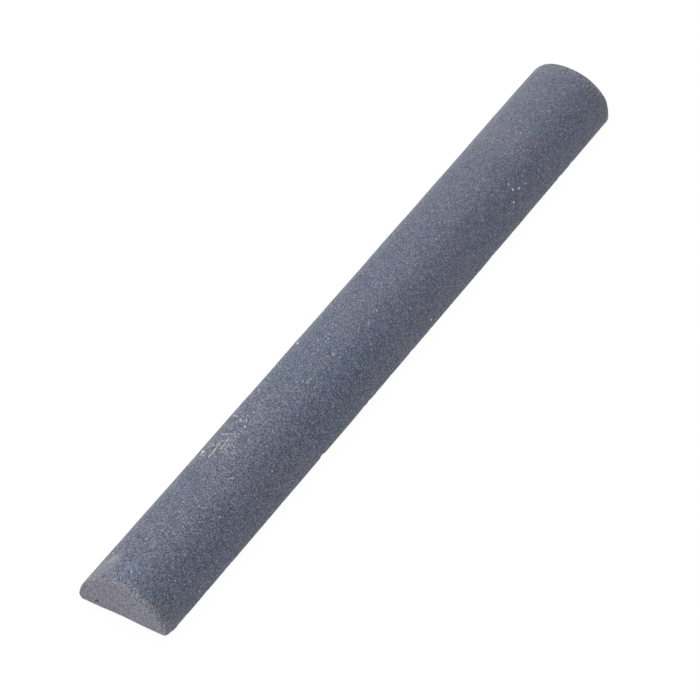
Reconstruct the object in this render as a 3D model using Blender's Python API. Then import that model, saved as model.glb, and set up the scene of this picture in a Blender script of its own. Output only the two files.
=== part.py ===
"""Brick jointer: a half-round stick of vitrified silicon carbide, pressed and fired in one piece.

The stick lies on its flat face. Its round side is drawn along a mortar joint to hollow it.
Frame: +X along the stick, +Z from the flat face to the crest, origin at the middle of the flat
face. Lengths are in metres.
"""

import math

import bmesh
import bpy

# Driving dimensions
LENGTH = 0.2032  # 8 in over both ends
WIDTH = 0.0250  # across the flat face, just under 1 in
HEIGHT = 0.0122  # from the flat face to the crest
LAND = 0.0015  # upright wall that the mould's punch leaves under each side of the arc
END_EDGE_RADIUS = 0.0015  # rounding around both end faces
LONG_EDGE_RADIUS = 0.0012  # rounding along both sides of the flat face

# Fineness of the round stretches
ARC_STEPS = 64
EDGE_STEPS = 4

STONE_COLOUR = (0.118, 0.133, 0.178, 1.0)
STONE_ROUGHNESS = 0.75


def clear_scene():
    for obj in list(bpy.data.objects):
        bpy.data.objects.remove(obj)


def stone_material():
    """The blue-grey of fired silicon carbide: matt, and not metallic."""
    material = bpy.data.materials.new("silicon_carbide")
    material.use_nodes = True
    shader = material.node_tree.nodes["Principled BSDF"]
    shader.inputs["Base Color"].default_value = STONE_COLOUR
    shader.inputs["Roughness"].default_value = STONE_ROUGHNESS
    shader.inputs["Metallic"].default_value = 0.0
    material.diffuse_color = STONE_COLOUR
    return material


def section_outline():
    """(y, z) corners of the D section, anticlockwise seen from +X, with its edges still sharp."""
    half_width = WIDTH / 2
    rise = HEIGHT - LAND
    radius = (half_width**2 + rise**2) / (2 * rise)
    centre_z = HEIGHT - radius
    start = math.atan2(LAND - centre_z, half_width)
    sweep = math.pi - 2 * start
    outline = [(-half_width, 0.0), (half_width, 0.0)]
    for step in range(ARC_STEPS + 1):
        angle = start + sweep * step / ARC_STEPS
        outline.append((radius * math.cos(angle), centre_z + radius * math.sin(angle)))
    return outline


def weigh_edges(bm):
    """Gives the rim of each end face a full bevel weight, and the flat face's long edges their share."""
    weight = bm.edges.layers.float.new("bevel_weight_edge")
    middle = LENGTH / 4
    flat = HEIGHT * 1e-3
    for edge in bm.edges:
        ends = [vert.co for vert in edge.verts]
        runs_along = abs(ends[0].x - ends[1].x) > middle
        if not runs_along:
            edge[weight] = 1.0
        elif max(end.z for end in ends) < flat:
            edge[weight] = LONG_EDGE_RADIUS / END_EDGE_RADIUS


def jointer_stone():
    """The whole tool: the D section drawn out along X, with its edges rounded by a bevel."""
    bm = bmesh.new()
    near_face = bm.faces.new([bm.verts.new((-LENGTH / 2, y, z)) for y, z in section_outline()])
    drawn = bmesh.ops.extrude_face_region(bm, geom=[near_face])
    far_verts = [item for item in drawn["geom"] if isinstance(item, bmesh.types.BMVert)]
    bmesh.ops.translate(bm, verts=far_verts, vec=(LENGTH, 0.0, 0.0))
    bmesh.ops.recalc_face_normals(bm, faces=bm.faces)
    weigh_edges(bm)

    mesh = bpy.data.meshes.new("jointer_stone")
    bm.to_mesh(mesh)
    bm.free()
    mesh.materials.append(stone_material())
    mesh.shade_smooth()
    mesh.set_sharp_from_angle(angle=math.radians(30))

    stone = bpy.data.objects.new("jointer_stone", mesh)
    bpy.context.scene.collection.objects.link(stone)
    rounding = stone.modifiers.new("edge_rounding", "BEVEL")
    rounding.limit_method = "WEIGHT"
    rounding.width = END_EDGE_RADIUS
    rounding.segments = EDGE_STEPS
    return stone


clear_scene()
jointer_stone()
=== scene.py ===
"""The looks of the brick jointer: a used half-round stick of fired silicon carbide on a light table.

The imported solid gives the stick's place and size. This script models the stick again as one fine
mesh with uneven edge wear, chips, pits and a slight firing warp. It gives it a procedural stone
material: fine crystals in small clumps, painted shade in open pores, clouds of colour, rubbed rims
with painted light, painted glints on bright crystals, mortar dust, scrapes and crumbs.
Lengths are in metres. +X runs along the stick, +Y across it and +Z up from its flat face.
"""

import math

import bpy
import numpy as np
from mathutils import Matrix, Vector, noise


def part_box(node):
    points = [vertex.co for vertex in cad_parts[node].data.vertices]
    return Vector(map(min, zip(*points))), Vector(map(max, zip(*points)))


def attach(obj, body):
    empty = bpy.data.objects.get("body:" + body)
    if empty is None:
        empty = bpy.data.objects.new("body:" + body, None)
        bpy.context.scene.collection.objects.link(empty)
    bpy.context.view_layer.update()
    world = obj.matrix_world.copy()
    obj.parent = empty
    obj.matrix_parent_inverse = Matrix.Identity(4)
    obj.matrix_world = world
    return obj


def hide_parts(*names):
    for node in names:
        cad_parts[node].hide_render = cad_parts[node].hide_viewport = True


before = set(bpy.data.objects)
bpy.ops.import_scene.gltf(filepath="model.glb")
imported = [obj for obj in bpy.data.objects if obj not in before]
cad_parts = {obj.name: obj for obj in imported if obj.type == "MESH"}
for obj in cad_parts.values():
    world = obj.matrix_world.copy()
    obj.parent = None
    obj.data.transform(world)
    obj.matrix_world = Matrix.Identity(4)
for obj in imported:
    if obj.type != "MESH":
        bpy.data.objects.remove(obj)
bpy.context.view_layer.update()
LOW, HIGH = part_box("jointer_stone")

# The stick's driving dimensions
LENGTH = HIGH.x - LOW.x
WIDTH = HIGH.y - LOW.y
HEIGHT = HIGH.z - LOW.z
LAND = 0.0015  # upright wall under each side of the arc
BASE_RADII = (0.0013, 0.0011)  # rounding along the flat face's +Y and -Y sides
# Wear round the arc of the -X end and of the +X end, as edge radii from +Y over to -Y
NEAR_END_RADII = (0.0002, 0.0004, 0.0006, 0.0010, 0.0013, 0.0013, 0.0013, 0.0015, 0.0016)
FAR_END_RADII = (0.0006, 0.0006, 0.0007, 0.0013, 0.0019, 0.0017, 0.0015, 0.0014, 0.0030)
WARP = 0.00010  # how far the middle has bent towards -Y in the kiln

# The mesh's fineness
GRID = 0.00037  # spacing along the stick and round its arc
FLAT_GRID = 0.0008  # spacing across the flat face
EDGE_STEPS = 7  # rows round each end edge
FILLET_STEPS = 5  # columns round each long edge of the flat face
CAP_RINGS = 26  # rings from an end face's rim to its middle

SEED = 7  # for the places and sizes of the random chips and pits


# ---------------------------------------------------------------- camera, light and floor

CAMERA_DISTANCE = 0.93805
CAMERA_ELEVATION = math.radians(46.88)
CAMERA_AZIMUTH = math.radians(54.68)  # from the -Y direction round towards -X
CAMERA_ROLL = math.radians(-3.33)
AIM_LEFT = 0.00263  # how far left of the origin the camera aims
AIM_DOWN = 0.00153  # how far below it
FOCAL_LENGTH = 195.4  # in millimetres, as is the sensor's width
SENSOR_WIDTH = 36.0


def make_camera():
    """A long lens looking down at the -X end, aimed just beside the middle of the flat face."""
    right = Vector((math.cos(CAMERA_AZIMUTH), -math.sin(CAMERA_AZIMUTH), 0.0))
    ahead = Vector((math.sin(CAMERA_AZIMUTH), math.cos(CAMERA_AZIMUTH), 0.0))
    up = Vector((0.0, 0.0, 1.0))
    to_camera = up * math.sin(CAMERA_ELEVATION) - ahead * math.cos(CAMERA_ELEVATION)
    level_up = up * math.cos(CAMERA_ELEVATION) + ahead * math.sin(CAMERA_ELEVATION)
    side = right * math.cos(CAMERA_ROLL) + level_up * math.sin(CAMERA_ROLL)
    top = level_up * math.cos(CAMERA_ROLL) - right * math.sin(CAMERA_ROLL)

    place = to_camera * CAMERA_DISTANCE
    back = (place + side * AIM_LEFT + top * AIM_DOWN).normalized()
    side = top.cross(back).normalized()
    top = back.cross(side)
    data = bpy.data.cameras.new("camera")
    data.lens = FOCAL_LENGTH
    data.sensor_width = SENSOR_WIDTH
    data.clip_start = 0.01
    data.clip_end = 20.0
    camera = bpy.data.objects.new("camera", data)
    camera.matrix_world = Matrix.Translation(place) @ Matrix((side, top, back)).transposed().to_4x4()
    bpy.context.scene.collection.objects.link(camera)
    bpy.context.scene.camera = camera


SOFTBOX_SIZE = 1.2

# Softboxes, each (name, place, watts)
SOFTBOXES = (
    ("top", (0.18, 0.13, 1.58), 11.6),
    ("low_front", (-1.46, 0.25, 0.60), 13.3),
    ("high_left", (0.18, 1.01, 1.23), 12.0),
)


def soft_light(name, place, power):
    """A square softbox that faces the stick."""
    data = bpy.data.lights.new(name, "AREA")
    data.shape = "SQUARE"
    data.size = SOFTBOX_SIZE
    data.energy = power
    light = bpy.data.objects.new(name, data)
    light.location = place
    light.rotation_euler = Vector(place).to_track_quat("Z", "Y").to_euler()
    bpy.context.scene.collection.objects.link(light)


WHITE = (1.0, 1.0, 1.0, 1.0)
FILL = 0.37  # strength of the light from the white room


def make_world():
    """A plain white room: it fills the shadows gently, and shows as white behind the floor."""
    world = bpy.data.worlds.new("studio")
    world.use_nodes = True
    nodes, links = world.node_tree.nodes, world.node_tree.links
    nodes.clear()
    path = nodes.new("ShaderNodeLightPath")
    fill = nodes.new("ShaderNodeBackground")
    fill.inputs["Color"].default_value = WHITE
    fill.inputs["Strength"].default_value = FILL
    backdrop = nodes.new("ShaderNodeBackground")
    backdrop.inputs["Color"].default_value = WHITE
    mix = nodes.new("ShaderNodeMixShader")
    output = nodes.new("ShaderNodeOutputWorld")
    links.new(path.outputs["Is Camera Ray"], mix.inputs[0])
    links.new(fill.outputs[0], mix.inputs[1])
    links.new(backdrop.outputs[0], mix.inputs[2])
    links.new(mix.outputs[0], output.inputs["Surface"])
    bpy.context.scene.world = world


FLOOR_SIZE = 8.0
FLOOR_GAP = 0.0001  # keeps the floor clear of the flat face
FLOOR_COLOUR = (0.92, 0.92, 0.92, 1.0)
FLOOR_GLOW = 0.96  # share of the light table's own even white in what is seen of the floor


def floor_material():
    """A matt white sheet on a light table, so that its shadows stay pale."""
    material = bpy.data.materials.new("white_floor")
    material.use_nodes = True
    nodes, links = material.node_tree.nodes, material.node_tree.links
    sheet = nodes["Principled BSDF"]
    sheet.inputs["Base Color"].default_value = FLOOR_COLOUR
    sheet.inputs["Roughness"].default_value = 0.9
    sheet.inputs["Specular IOR Level"].default_value = 0.0
    glow = nodes.new("ShaderNodeEmission")
    glow.inputs["Strength"].default_value = 1.0
    mix = nodes.new("ShaderNodeMixShader")
    mix.inputs[0].default_value = FLOOR_GLOW
    links.new(sheet.outputs[0], mix.inputs[1])
    links.new(glow.outputs[0], mix.inputs[2])
    links.new(mix.outputs[0], nodes["Material Output"].inputs["Surface"])
    return material


def make_floor():
    """The light table under the stick, which isn't part of the object."""
    mesh = bpy.data.meshes.new("floor")
    half = FLOOR_SIZE / 2
    corners = [(-half, -half, 0), (half, -half, 0), (half, half, 0), (-half, half, 0)]
    mesh.from_pydata(corners, [], [(0, 1, 2, 3)])
    mesh.materials.append(floor_material())
    floor = bpy.data.objects.new("floor", mesh)
    floor.location.z = LOW.z - FLOOR_GAP
    bpy.context.scene.collection.objects.link(floor)


# ---------------------------------------------------------------- the stick's mesh

HALF_WIDTH = WIDTH / 2
ARC_RISE = HEIGHT - LAND
ARC_RADIUS = (HALF_WIDTH**2 + ARC_RISE**2) / (2 * ARC_RISE)
ARC_CENTRE_Z = HEIGHT - ARC_RADIUS
ARC_SWEEP = math.pi - 2 * math.acos(HALF_WIDTH / ARC_RADIUS)  # the angle that the round side spans
FACE_MIDDLE_Z = HEIGHT * 0.45  # where the rings of an end face meet
SMALLEST_FILLET = 0.0001  # what stays of a long edge's rounding when the section is pulled in


def section_columns():
    """Each column's zone, and its share of the way along that zone, anticlockwise seen from +X."""
    flat = round((WIDTH - sum(BASE_RADII)) / FLAT_GRID)
    arc = round(ARC_SWEEP * ARC_RADIUS / GRID)
    zones = (("flat", flat), ("plus_fillet", FILLET_STEPS), ("arc", arc), ("minus_fillet", FILLET_STEPS))
    return [(zone, step / steps) for zone, steps in zones for step in range(steps)]


def outline(columns, inset):
    """(y, z) of each column when the D section is pulled in by that column's inset."""
    points = np.zeros((len(columns), 2))
    for i, ((zone, share), pull) in enumerate(zip(columns, inset)):
        wall = HALF_WIDTH - pull
        radius = ARC_RADIUS - pull
        plus, minus = (max(base - pull, SMALLEST_FILLET) for base in BASE_RADII)
        if zone == "flat":
            left, right = -(wall - minus), wall - plus
            points[i] = (left + (right - left) * share, pull)
        elif zone == "plus_fillet":
            angle = -math.pi / 2 * (1 - share)
            points[i] = (wall - plus + plus * math.cos(angle), pull + plus + plus * math.sin(angle))
        elif zone == "arc":
            start = math.acos(wall / radius)
            angle = start + (math.pi - 2 * start) * share
            points[i] = (radius * math.cos(angle), ARC_CENTRE_Z + radius * math.sin(angle))
        else:
            angle = -math.pi / 2 * share
            points[i] = (-(wall - minus + minus * math.cos(angle)), pull + minus + minus * math.sin(angle))
    return points


def wear_round_end(columns, radii):
    """The end edge's radius at each column.

    The given radii are spaced evenly round the arc, and the edge of the flat face repeats them.
    """
    shares = []
    for zone, share in columns:
        if zone == "arc":
            shares.append(share)
        elif zone == "flat":
            shares.append(1 - share)
        else:
            shares.append(0.0 if zone == "plus_fillet" else 1.0)
    stations = np.linspace(0, 1, len(radii))
    return np.interp(shares, stations, radii)


def end_rows(columns, side, radii):
    """Rows from the middle of an end face out to where its worn edge meets the stick's sides."""
    wear = wear_round_end(columns, radii)
    rim = outline(columns, wear)
    centre = np.array((0.0, FACE_MIDDLE_Z))
    rows = []
    for ring in range(1, CAP_RINGS + 1):
        share = ring / CAP_RINGS
        flat_ring = centre + (rim - centre) * share
        rows.append(np.column_stack([np.full(len(columns), side * LENGTH / 2), flat_ring]))
    for step in range(1, EDGE_STEPS + 1):
        turn = math.pi / 2 * (1 - step / EDGE_STEPS)
        x = side * (LENGTH / 2 - wear + wear * math.sin(turn))
        rows.append(np.column_stack([x, outline(columns, wear * (1 - math.cos(turn)))]))
    return rows


def stick_grid(columns):
    """All rows of the stick from the -X end face's middle to the +X one's, as an array of points."""
    near = end_rows(columns, -1, NEAR_END_RADII)
    far = end_rows(columns, 1, FAR_END_RADII)
    steps = round(LENGTH / GRID)
    first, last = near[-1], far[-1]
    body = [first + (last - first) * step / steps for step in range(1, steps)]
    return np.array(near + body + far[::-1])


def stick_mesh():
    """The smooth stick as a closed mesh: quads between the rows, and a fan in the middle of each end."""
    columns = section_columns()
    grid = stick_grid(columns)
    rows, around = grid.shape[:2]
    tips = np.array([(-LENGTH / 2, 0.0, FACE_MIDDLE_Z), (LENGTH / 2, 0.0, FACE_MIDDLE_Z)])
    points = np.concatenate([grid.reshape(-1, 3), tips])
    near_tip, far_tip = rows * around, rows * around + 1
    here = np.arange(around)
    ahead = (here + 1) % around
    starts = (np.arange(rows - 1) * around)[:, None]
    quads = np.stack([starts + ahead, starts + around + ahead, starts + around + here, starts + here], -1)
    last_row = (rows - 1) * around
    fans = [(b, a, near_tip) for a, b in zip(here, ahead)]
    fans += [(last_row + a, last_row + b, far_tip) for a, b in zip(here, ahead)]
    mesh = bpy.data.meshes.new("jointer_stone_worn")
    mesh.from_pydata(points.tolist(), [], quads.reshape(-1, 4).tolist() + fans)
    mesh.update()
    return mesh


# ---------------------------------------------------------------- wear in the mesh

# The fired skin's waves, each (waves per metre, height)
WAVES = ((70.0, 0.00006), (260.0, 0.000025), (900.0, 0.000012))

PITS = 260  # small voids between the grains
PIT_RADIUS = (0.0003, 0.0007)
PIT_DEPTH = (0.00004, 0.00012)

EDGE_CHIPS = 70  # half of them round the ends, and half along the flat face's sides
CHIP_RADIUS = (0.0005, 0.0014)
CHIP_DEPTH = (0.00003, 0.00013)
RIM_REACH = 0.0012  # how far from an end the chips of its rim may lie
SIDE_REACH = 0.0006  # how far in from a side the chips along it may lie
SIDE_HEIGHT = 0.0008  # how far up they may lie

SKIN_EDGE = 0.0009  # length over which most of the end faces' skin gives way to that of the sides
SKIN_REST = 0.35  # share of it that reaches further
SKIN_FADE = 0.0018  # length over which that share fades
NEAR_RUB = 0.14  # how strongly handling has rubbed the sides next to the -X end
FAR_RUB_AND_PAINTED_LIGHT = 0.75  # how strongly next to the +X end; most of it is painted light on the +X rim, which turns away from the lamps
RUB_FADE = 0.0024  # length over which that fades
PAINTED_RIM_HIGHLIGHT = 1.2  # strength of the pale line along the -X end's rim towards -Y: rubbing with a painted highlight on it
PAINTED_RIM_HIGHLIGHT_FADE = 0.0006  # length over which that line fades


def on_arc(along, angle):
    """The point of the round side at that X, and at that angle in degrees from +Y up and over to -Y."""
    turn = math.radians(angle)
    return Vector((along, ARC_RADIUS * math.cos(turn), ARC_CENTRE_Z + ARC_RADIUS * math.sin(turn)))


DARK_PIT = Vector((-LENGTH / 2, 0.0071, 0.0020))  # an open void low on the -X end face
PAINTED_PIT_SHADE_REACH = 0.00052  # how far the painted shade in that void reaches

# Larger chips, each (place, radius, depth)
NICKS = (
    (Vector((-0.1003, -HALF_WIDTH, 0.0003)), 0.0018, 0.00030),
    (Vector((-0.0360, -HALF_WIDTH, 0.0004)), 0.0012, 0.00025),
    (Vector((0.0434, -HALF_WIDTH, 0.0004)), 0.0008, 0.00010),
    (on_arc(-0.0553, 47.0), 0.0010, 0.00016),
    (on_arc(-0.0144, 44.5), 0.0010, 0.00016),
    (DARK_PIT, 0.0005, 0.00030),
)


def read(collection, name, width):
    """One of a mesh's arrays, as rows of that many numbers."""
    values = np.empty(len(collection) * width, np.float32)
    collection.foreach_get(name, values)
    return values.reshape(-1, width).astype(float)


def store(mesh, name, values):
    """Stores one number for each point under that name, where the material finds it."""
    attribute = mesh.attributes.new(name, "FLOAT", "POINT")
    attribute.data.foreach_set("value", values.astype(np.float32))


def random_chips(rng, points):
    """Chips scattered along the rims of both ends and along both sides of the flat face."""
    rims = np.abs(np.abs(points[:, 0]) - LENGTH / 2) < RIM_REACH
    rims &= np.hypot(points[:, 1], points[:, 2] - FACE_MIDDLE_Z) > HEIGHT / 2
    sides = (np.abs(points[:, 1]) > HALF_WIDTH - SIDE_REACH) & (points[:, 2] < SIDE_HEIGHT)
    chips = []
    for edge in (rims, sides):
        for place in points[rng.choice(np.flatnonzero(edge), EDGE_CHIPS // 2)]:
            chips.append((Vector(place), rng.uniform(*CHIP_RADIUS), rng.uniform(*CHIP_DEPTH)))
    return chips


def random_pits(rng, points):
    chosen = points[rng.choice(len(points), PITS)]
    return [(Vector(p), rng.uniform(*PIT_RADIUS), rng.uniform(*PIT_DEPTH)) for p in chosen]


def scoop(points, hollows):
    """How deep each point sinks into the round hollows, each (place, radius, depth)."""
    depth = np.zeros(len(points))
    for place, radius, deep in hollows:
        near = np.flatnonzero(np.abs(points[:, 0] - place.x) < radius)
        share = 1 - np.linalg.norm(points[near] - np.array(place), axis=1) / radius
        share = np.clip(share, 0, 1)
        depth[near] = np.maximum(depth[near], deep * share * (2 - share))
    return depth


def skin_waves(points, normals):
    """The fired skin's slight unevenness, which only goes inwards on the flat face."""
    height = np.zeros(len(points))
    for frequency, size in WAVES:
        height += [size * noise.noise(Vector(p) * frequency) for p in points]
    flat = normals[:, 2] < -0.5
    height[flat] = -np.abs(height[flat]) * 0.5
    return height


def end_skin(points):
    """1 on the end faces. It falls to a fifth within a millimetre of them, and then fades out slowly."""
    depth = LENGTH / 2 - np.abs(points[:, 0])
    edge = np.clip(1.1 - depth / SKIN_EDGE, 0, 1)
    return SKIN_REST * np.exp(-depth / SKIN_FADE) + (1 - SKIN_REST) * edge


def rubbed_rim_and_painted_light(points, normals):
    """How much handling has rubbed the sides next to both ends, with painted light added next to the +X end
    and a painted highlight along the -X end's rim towards -Y.
    """
    x, y, z = points.T
    depth = LENGTH / 2 - np.abs(x)
    strength = np.where(x > 0, FAR_RUB_AND_PAINTED_LIGHT, NEAR_RUB)
    off_face = np.clip((0.97 - np.abs(normals[:, 0])) / 0.35, 0, 1)
    off_base = normals[:, 2] > -0.3
    rub_and_painted_light = strength * np.exp(-depth / RUB_FADE) * off_face * off_base
    inside = np.clip(ARC_RADIUS - np.hypot(y, z - ARC_CENTRE_Z), 0, None)
    # the painted highlight along the -X end's rim towards -Y
    line = np.interp(y, (-0.004, 0.004), (PAINTED_RIM_HIGHLIGHT, 0.0)) * (x < 0)
    return rub_and_painted_light + line * np.exp(-(depth + inside) / PAINTED_RIM_HIGHLIGHT_FADE)


def weather(mesh):
    """Wears the smooth mesh with waves, pits, chips and the warp, and stores the wear, with the rims'
    painted light, for the material.
    """
    points = read(mesh.vertices, "co", 3)
    normals = read(mesh.vertex_normals, "vector", 3)
    rng = np.random.default_rng(SEED)
    chips = random_chips(rng, points) + list(NICKS)
    pits = random_pits(rng, points)
    chipped = scoop(points, chips)
    sunk = chipped + scoop(points, pits)
    points = points + normals * (skin_waves(points, normals) - sunk)[:, None]
    points[:, 1] -= WARP * (1 - (2 * points[:, 0] / LENGTH) ** 2)
    mesh.vertices.foreach_set("co", points.astype(np.float32).ravel())
    store(mesh, "chipped", np.clip(chipped / CHIP_DEPTH[1], 0, 1))
    store(mesh, "end_skin", end_skin(points))
    store(mesh, "rubbed_rim_and_painted_light", rubbed_rim_and_painted_light(points, normals))
    mesh.update()


# ---------------------------------------------------------------- the stone's material

BLUE_STONE = (0.087, 0.108, 0.162, 1.0)
MAUVE_STONE = (0.108, 0.115, 0.165, 1.0)
END_STONE = ((0.150, 0.147, 0.191, 1.0), (0.138, 0.135, 0.170, 1.0))  # towards -Y and towards +Y
# rubbed stone, also painted as light on the +X rim and as a highlight along the -X rim
RUBBED_STONE_AND_PAINTED_LIGHT = (0.200, 0.200, 0.210, 1.0)
CHIPPED_STONE = (0.190, 0.190, 0.205, 1.0)
# painted glints: bright colours for crystals that catch the light
PAINTED_GLINT = (0.61, 0.65, 0.75, 1.0)
PAINTED_LARGE_GLINT = (0.755, 0.79, 0.90, 1.0)
# painted shade: a near-black colour that stands for the shade inside open pores and voids
PAINTED_PORE_SHADE = (0.015, 0.017, 0.024, 1.0)
MORTAR_DUST = (0.37, 0.345, 0.31, 1.0)
MORTAR = (0.82, 0.77, 0.68, 1.0)
SCRAPED_STONE = (0.76, 0.745, 0.75, 1.0)
SHEEN = 0.03  # the soft glow of fine dust at grazing angles

# Sizes of what the stone is made of
GRAIN = 0.00017  # a crystal
CLUMP = 0.0004  # a clump of crystals
FLECK = 0.0003  # a rare coarse crystal with a painted glint, or an open pore with painted shade
SCUFF_GRAIN = 0.0004  # a grain in the scuffed areas
PATCH = 0.0035  # a small patch of blue or mauve
CLOUD = 0.022  # a large one

# Soft dust films, each (along, angle, radius, strength)
DUST_FILMS = (
    (-0.0948, 57.0, 0.0030, 0.45),
    (-0.0975, 52.0, 0.0070, 0.24),
    (-0.0350, 46.0, 0.0014, 0.18),
    (-0.0530, 64.0, 0.0070, 0.05),
    (0.0720, 66.0, 0.0160, 0.045),
    (0.0880, 56.0, 0.0170, 0.080),
    (0.0590, 137.0, 0.0040, 0.04),
    (-0.0320, 74.0, 0.0012, 0.15),
    (-0.0336, 85.0, 0.0010, 0.12),
    (-0.0395, 75.5, 0.0012, 0.15),
)

# Scrapes, each (along and angle at one end, the same at the other end, reach to each side, strength)
SCRAPES = (
    ((-0.0580, 67.1), (-0.0547, 65.5), 0.00024, 0.64),
    ((-0.0547, 65.5), (-0.0515, 64.3), 0.00024, 0.52),
    ((-0.0544, 72.9), (-0.0506, 71.2), 0.00024, 0.52),
    ((-0.0540, 77.5), (-0.0508, 76.0), 0.00024, 0.24),
    ((-0.0493, 55.5), (-0.0494, 65.3), 0.00026, 0.72),
    ((-0.0494, 65.3), (-0.0491, 74.0), 0.00024, 0.40),
    ((-0.0541, 50.0), (-0.0537, 56.2), 0.00028, 0.40),
    ((-0.0537, 56.2), (-0.0534, 59.5), 0.00028, 0.38),
    ((-0.0573, 54.0), (-0.0572, 60.0), 0.00024, 0.40),
    ((-0.0446, 75.5), (-0.0430, 71.5), 0.00020, 0.14),
    ((-0.0435, 83.0), (-0.0428, 89.0), 0.00020, 0.16),
    ((-0.0426, 53.0), (-0.0428, 57.0), 0.00026, 0.55),
)

# Crumbs of mortar, in the same form as the scrapes
CRUMBS = (
    ((-0.0416, 43.0), (-0.0422, 50.0), 0.00034, 0.46),
    ((-0.0559, 50.0), (-0.0550, 45.0), 0.00042, 0.90),
    ((-0.0565, 48.0), (-0.0557, 47.0), 0.00042, 0.60),
    ((-0.0148, 48.0), (-0.0139, 43.0), 0.00046, 1.00),
    ((-0.0923, 49.5), (-0.0921, 45.5), 0.00028, 0.54),
)

# Painted glints on large bright crystals, each (along, angle, radius, strength)
PAINTED_GLINT_SPECKS = (
    (-0.0459, 78.0, 0.00036, 0.68),
    (-0.0475, 78.5, 0.00042, 0.22),
    (-0.0449, 63.3, 0.00038, 0.50),
    (-0.0439, 65.8, 0.00032, 0.65),
    (-0.0439, 73.5, 0.00030, 0.62),
    (-0.0421, 69.6, 0.00034, 0.34),
    (-0.0408, 74.5, 0.00034, 0.42),
    (-0.0382, 73.5, 0.00034, 0.25),
    (-0.0496, 77.8, 0.00030, 0.38),
    (-0.0327, 53.0, 0.00045, 0.32),
    (-0.0264, 101.0, 0.00028, 0.55),
    (-0.0257, 101.2, 0.00026, 0.35),
    (-0.0250, 100.8, 0.00028, 0.45),
    (-0.0269, 96.0, 0.00026, 0.35),
    (-0.0135, 75.0, 0.00028, 0.45),
    (-0.0118, 84.5, 0.00028, 0.58),
    (-0.0729, 82.6, 0.00030, 0.42),
    (-0.0967, 91.0, 0.00032, 0.45),
    (-0.0828, 86.0, 0.00028, 0.40),
    (-0.0608, 107.3, 0.00030, 0.52),
    (0.0580, 126.0, 0.00036, 0.60),
    (0.0579, 134.2, 0.00043, 1.00),
    (0.0597, 138.8, 0.00038, 0.95),
    (0.0623, 140.9, 0.00034, 0.50),
    (0.0557, 145.0, 0.00040, 0.70),
    (0.0442, 130.5, 0.00036, 0.36),
    (0.0543, 100.5, 0.00032, 0.38),
    (0.0736, 97.3, 0.00036, 0.32),
    (0.0135, 164.1, 0.00034, 0.90),
    (0.0024, 106.2, 0.00030, 0.40),
    (0.0305, 104.6, 0.00030, 0.38),
    (-0.0021, 109.0, 0.00034, 0.32),
    (-0.0155, 102.0, 0.00034, 0.40),
    (-0.0519, 135.1, 0.00028, 0.58),
    (-0.0710, 124.6, 0.00032, 0.55),
    (-0.0915, 132.8, 0.00032, 0.38),
    (-0.0875, 164.1, 0.00030, 0.60),
)

# Scuffed areas, with painted shade in open pores and with mortar stuck to single grains, each (along,
# angle, radius)
SCUFFS = (
    (-0.0545, 66.0, 0.0055),
    (-0.0535, 76.0, 0.0050),
    (-0.0450, 66.0, 0.0048),
    (-0.0365, 74.0, 0.0026),
)


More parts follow.
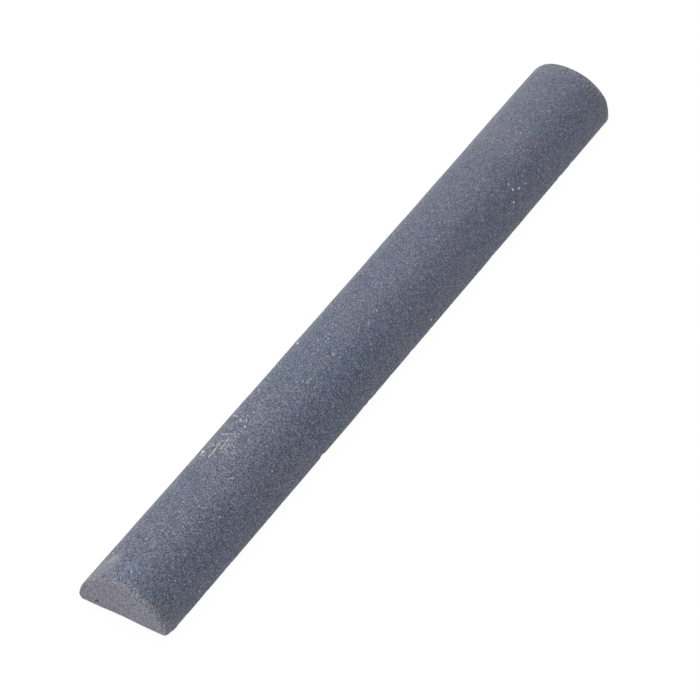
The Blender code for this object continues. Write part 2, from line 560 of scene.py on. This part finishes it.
class Graph:
    """Builds one material's nodes. Each call adds a node, and an input may be a value or another socket."""

    def __init__(self, name):
        self.material = bpy.data.materials.new(name)
        self.material.use_nodes = True
        self.nodes = self.material.node_tree.nodes
        self.shader = self.nodes["Principled BSDF"]
        self.place = self.add("ShaderNodeTexCoord").outputs["Object"]

    def feed(self, socket, value):
        if isinstance(value, bpy.types.NodeSocket):
            self.material.node_tree.links.new(value, socket)
        else:
            socket.default_value = value

    def add(self, kind, inputs=None, **settings):
        """A node of that kind, with its inputs by name or number."""
        node = self.nodes.new(kind)
        for key, value in settings.items():
            setattr(node, key, value)
        for key, value in (inputs or {}).items():
            self.feed(node.inputs[key], value)
        return node

    def math(self, operation, first, second):
        return self.add("ShaderNodeMath", {0: first, 1: second}, operation=operation).outputs[0]

    def vector(self, operation, first, second):
        return self.add("ShaderNodeVectorMath", {0: first, 1: second}, operation=operation)

    def ramp(self, value, low, high, bottom=0.0, top=1.0):
        """value from low to high becomes bottom to top, eased at both ends."""
        limits = {"Value": value, "From Min": low, "From Max": high, "To Min": bottom, "To Max": top}
        return self.add("ShaderNodeMapRange", limits, interpolation_type="SMOOTHSTEP").outputs["Result"]

    def mix(self, share, first, second, blend_type="MIX"):
        node = self.add("ShaderNodeMix", data_type="RGBA", blend_type=blend_type)
        for socket, value in zip((node.inputs[0], node.inputs[6], node.inputs[7]), (share, first, second)):
            self.feed(socket, value)
        return node.outputs[2]

    def noise(self, size, detail=2.0, output="Fac"):
        """Soft noise from 0 to 1 whose lumps are about that size in metres."""
        inputs = {"Vector": self.place, "Scale": 1 / size, "Detail": detail}
        return self.add("ShaderNodeTexNoise", inputs).outputs[output]

    def cells(self, size):
        """Crystals of about that size. Each has two random numbers from 0 to 1."""
        cell = self.add("ShaderNodeTexVoronoi", {"Vector": self.place, "Scale": 1 / size}).outputs["Color"]
        return self.split(cell)

    def split(self, vector):
        """The first two parts of a vector or a colour."""
        parts = self.add("ShaderNodeSeparateXYZ", {0: vector}).outputs
        return parts["X"], parts["Y"]

    def stored(self, name):
        return self.add("ShaderNodeAttribute", attribute_name=name).outputs["Fac"]

    def grey(self, value, blue_power):
        """A grey of that brightness. A blue power under 1 warms the light greys and cools the dark ones."""
        blue = self.math("POWER", value, blue_power)
        return self.add("ShaderNodeCombineColor", {0: value, 1: value, 2: blue}).outputs[0]

    def shaken_place(self, size, reach):
        """The place on the stone, pushed about by noise. What is drawn there gets a ragged outline."""
        push = self.vector("SUBTRACT", self.noise(size, output="Color"), (0.5, 0.5, 0.5)).outputs[0]
        push = self.vector("MULTIPLY", push, (reach, reach, reach)).outputs[0]
        return self.vector("ADD", self.place, push).outputs[0]

    def spot(self, place, centre, radius):
        """1 round a point, fading out at that distance."""
        gap = self.vector("DISTANCE", place, centre).outputs["Value"]
        return self.ramp(gap, radius, radius * 0.3)

    def stroke(self, place, start, end, reach):
        """1 along the straight line between two points, fading out at that distance from it."""
        run = end - start
        offset = self.vector("SUBTRACT", place, start).outputs[0]
        share = self.vector("DOT_PRODUCT", offset, run / run.length_squared).outputs["Value"]
        share = self.add("ShaderNodeClamp", {"Value": share}).outputs[0]
        nearest = self.add("ShaderNodeVectorMath", {0: run, "Scale": share}, operation="SCALE").outputs[0]
        gap = self.vector("DISTANCE", offset, nearest).outputs["Value"]
        return self.ramp(gap, reach, reach * 0.2)

    def strongest(self, masks):
        """The highest of several masks at each place."""
        result = masks[0]
        for mask in masks[1:]:
            result = self.math("MAXIMUM", result, mask)
        return result


def bond_colour(g):
    """The stone's soft colours: blue and mauve clouds, paler end faces, and rubbed rims with painted light
    at the +X end and a painted highlight along the -X rim.
    """
    patches = g.math("MULTIPLY", g.noise(PATCH), 0.45)
    clouds = g.math("MULTIPLY", g.noise(CLOUD, detail=3.0), 0.75)
    hue = g.ramp(g.math("ADD", patches, clouds), 0.42, 0.78)
    colour = g.mix(hue, BLUE_STONE, MAUVE_STONE)
    across = g.split(g.place)[1]
    end_colour = g.mix(g.ramp(across, -0.008, 0.008), *END_STONE)
    colour = g.mix(g.stored("end_skin"), colour, end_colour)
    # rubbing, with painted light at the +X end and a painted highlight along the -X rim
    colour = g.mix(g.stored("rubbed_rim_and_painted_light"), colour, RUBBED_STONE_AND_PAINTED_LIGHT)
    return g.mix(g.math("MULTIPLY", g.stored("chipped"), 0.12), colour, CHIPPED_STONE)


def add_painted_pore_shade(g, colour, luck, share):
    """Paints the shade of open pores, as near-black colour, into that share of the cells, those with the
    lowest luck.
    """
    return g.mix(g.math("MULTIPLY", g.math("LESS_THAN", luck, share), 0.85), colour, PAINTED_PORE_SHADE)


def add_painted_glints(g, colour, luck, share, strength):
    """Paints glints, as bright colour, onto that share of the cells, those with the highest luck."""
    painted_glint = g.math("GREATER_THAN", luck, 1 - share)
    return g.mix(g.math("MULTIPLY", painted_glint, strength), colour, PAINTED_GLINT)


def crystal_contrast(g):
    """How strongly the crystals show: most on the -X half and low on the +Y side, less on the end faces."""
    along, across = g.split(g.place)
    contrast = g.ramp(along, -0.04, 0.055, 1.26, 0.93)
    contrast = g.math("MULTIPLY", contrast, g.ramp(across, 0.003, 0.009, 1.0, 1.36))
    return g.math("MULTIPLY", contrast, g.ramp(g.stored("end_skin"), 0.5, 1.0, 1.0, 0.79))


def add_crystals_with_painted_pores_and_glints(g, colour, tone, luck, clump):
    """Light and dark crystals in small clumps, with painted shade in rare open pores and painted glints on
    rare crystals.
    """
    light = g.ramp(g.math("POWER", tone, 1.8), 0.0, 1.0, -0.465, 0.84)
    light = g.math("ADD", g.math("MULTIPLY", light, crystal_contrast(g)), 1.0)
    light = g.math("MULTIPLY", light, g.ramp(clump, 0.3, 0.7, 0.90, 1.11))
    colour = g.mix(1.0, colour, g.grey(light, 0.90), "MULTIPLY")
    # painted shade in rare open pores, and painted glints on rare crystals
    colour = add_painted_pore_shade(g, colour, luck, 0.03)
    return add_painted_glints(g, colour, luck, 0.013, 0.50)


def add_flecks_with_painted_pores_and_glints(g, colour):
    """Painted glints on rare coarse crystals and painted shade in rare open pores, each about twice as wide
    as the grain.
    """
    luck = g.cells(FLECK)[1]
    # painted shade in coarse pores, and painted glints on coarse crystals
    colour = add_painted_pore_shade(g, colour, luck, 0.020)
    return add_painted_glints(g, colour, luck, 0.0035, 0.33)


def broken_strokes(g, strokes):
    """Ragged strokes with gaps in them, each (start, end, reach, strength)."""
    ragged = g.shaken_place(size=0.0006, reach=0.0008)
    masks = []
    for start, end, reach, strength in strokes:
        masks.append(g.math("MULTIPLY", g.stroke(ragged, on_arc(*start), on_arc(*end), reach), strength))
    gaps = g.ramp(g.noise(size=0.0005, detail=1.0), 0.38, 0.55, 0.35, 1.15)
    return g.math("MULTIPLY", g.strongest(masks), gaps)


def add_mortar(g, colour):
    """What work has left on the stone: films of mortar dust, scuffed areas with painted shade in their
    pores, scrapes and crumbs.
    """
    cloudy = g.shaken_place(size=0.0025, reach=0.0030)
    films = []
    for along, angle, radius, strength in DUST_FILMS:
        gap = g.vector("DISTANCE", cloudy, on_arc(along, angle)).outputs["Value"]
        films.append(g.math("MULTIPLY", g.ramp(gap, radius, 0.0), strength))
    colour = g.mix(g.strongest(films), colour, MORTAR_DUST)

    scuff = g.strongest([g.spot(cloudy, on_arc(along, angle), radius) for along, angle, radius in SCUFFS])
    grain = g.cells(SCUFF_GRAIN)[0]
    # painted shade in the open pores of the scuffed areas
    colour = g.mix(g.math("MULTIPLY", scuff, g.ramp(grain, 0.38, 0.0, 0.0, 0.55)), colour, PAINTED_PORE_SHADE)
    scuff = g.math("MULTIPLY", scuff, g.ramp(grain, 0.70, 1.0, 0.0, 0.22))
    colour = g.mix(g.strongest([scuff, broken_strokes(g, SCRAPES)]), colour, SCRAPED_STONE)
    return g.mix(broken_strokes(g, CRUMBS), colour, MORTAR)


def add_painted_large_glints(g, colour):
    """Painted glints on the brightest crystals, each in its own place."""
    ragged = g.shaken_place(size=0.0006, reach=0.0003)
    marks = []
    for along, angle, radius, strength in PAINTED_GLINT_SPECKS:
        marks.append(g.math("MULTIPLY", g.spot(ragged, on_arc(along, angle), radius), strength))
    # painted glints
    return g.mix(g.strongest(marks), colour, PAINTED_LARGE_GLINT)


def stone_material():
    """Fired silicon carbide: crystals in a grey-blue bond, used on mortar and rubbed at its rims, with
    painted pore shade, painted glints and painted light on the rims.
    """
    g = Graph("silicon_carbide_worn")
    tone, luck = g.cells(GRAIN)
    clump = g.noise(CLUMP, detail=0.0)
    colour = add_crystals_with_painted_pores_and_glints(g, bond_colour(g), tone, luck, clump)
    colour = add_flecks_with_painted_pores_and_glints(g, colour)
    colour = add_painted_large_glints(g, colour)
    colour = add_mortar(g, colour)
    # painted shade in the open void on the -X end face
    colour = g.mix(g.spot(g.place, DARK_PIT, PAINTED_PIT_SHADE_REACH), colour, PAINTED_PORE_SHADE)

    height = g.math("ADD", g.math("MULTIPLY", tone, 0.6), g.math("MULTIPLY", clump, 0.8))
    bump = g.add("ShaderNodeBump", {"Height": height, "Distance": 0.00005, "Strength": 0.5})
    g.feed(g.shader.inputs["Base Color"], colour)
    g.feed(g.shader.inputs["Sheen Weight"], SHEEN)
    g.feed(g.shader.inputs["Roughness"], g.ramp(tone, 0.0, 1.0, 0.62, 0.48))
    g.feed(g.shader.inputs["Normal"], bump.outputs["Normal"])
    return g.material


# ---------------------------------------------------------------- the scene

def jointer_stone():
    """The stick itself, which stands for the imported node."""
    mesh = stick_mesh()
    weather(mesh)
    mesh.shade_smooth()
    mesh.materials.append(stone_material())
    stone = bpy.data.objects.new("jointer_stone_worn", mesh)
    bpy.context.scene.collection.objects.link(stone)
    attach(stone, "root")
    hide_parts("jointer_stone")


make_camera()
make_world()
for name, place, power in SOFTBOXES:
    soft_light(name, place, power)
make_floor()
jointer_stone()
bpy.context.scene.view_settings.view_transform = "Standard"
